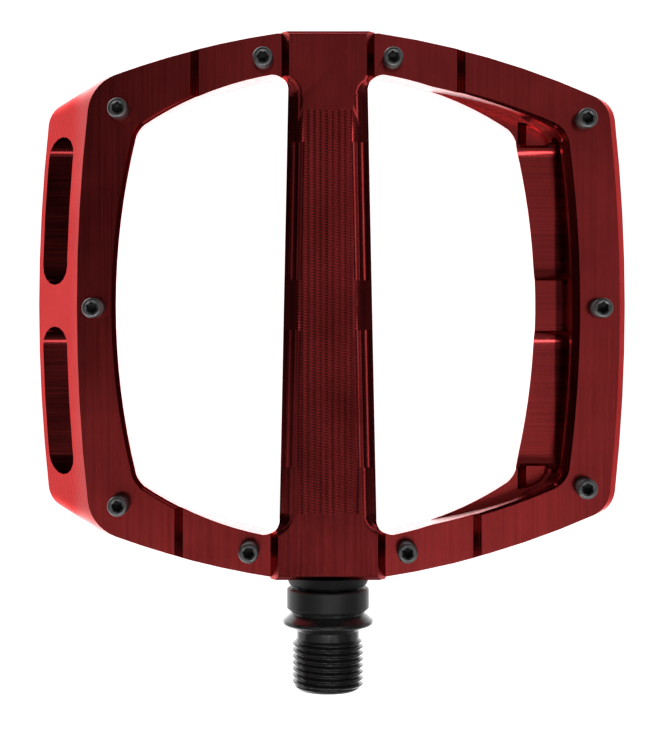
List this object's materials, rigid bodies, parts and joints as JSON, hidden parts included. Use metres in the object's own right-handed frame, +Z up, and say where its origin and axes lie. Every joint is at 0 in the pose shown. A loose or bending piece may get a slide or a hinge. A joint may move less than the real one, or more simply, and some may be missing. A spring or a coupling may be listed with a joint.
{
  "type": "flat bicycle pedal",
  "caption": "Flat bicycle pedal: a bowed, windowed platform with screw-in grip pins on both faces, turning on a threaded spindle in a bushing and a sealed ball bearing.",
  "frame": {"origin": "on the spindle axis, at the flange face that seats on the crank arm", "axes": "+Y outboard along the spindle, +Z up out of the platform's upper face, +X forward on the left-hand side of a bicycle"},
  "size_m": [0.1188, 0.1322, 0.0244],
  "materials": {
    "platform": "machined and anodised red",
    "pins": "black oxide",
    "spindle": "black, satin",
    "sleeve": "matt black",
    "seal": "black rubber",
    "bushing": "sintered bronze",
    "bearing": "ground steel",
    "balls": "polished steel",
    "cage": "stamped",
    "hardware": "zinc plated",
    "cap": "anodised black"
  },
  "bodies": {
    "platform": {"pedal_body": "platform", "upper_corner_pins": "pins", "upper_side_pins": "pins", "upper_end_pins": "pins", "lower_corner_pins": "pins", "lower_side_pins": "pins", "lower_end_pins": "pins", "inboard_seal": "seal", "plain_bushing": "bushing", "bearing_outer_race": "bearing", "bearing_inboard_shield": "bearing", "bearing_outboard_shield": "bearing", "end_cap": "cap", "end_cap_o_ring": "seal"},
    "spindle": {"spindle": "spindle", "dust_sleeve": "sleeve", "bearing_inner_race": "bearing", "lock_washer": "hardware", "lock_nut": "hardware"},
    "ball_set": {"bearing_balls": "balls", "bearing_cage": "cage"}
  },
  "joints": [
    {"name": "spindle_spin", "type": "hinge", "parent": "platform", "child": "spindle", "pos_m": [0, 0, 0], "axis": [0, 1, 0], "continuous": true},
    {"name": "ball_set_spin", "type": "hinge", "parent": "platform", "child": "ball_set", "pos_m": [0, 0, 0], "axis": [0, 1, 0], "continuous": true}
  ],
  "couplings": [
    {"joint": "ball_set_spin", "follows": "spindle_spin", "ratio": 0.3842}
  ]
}
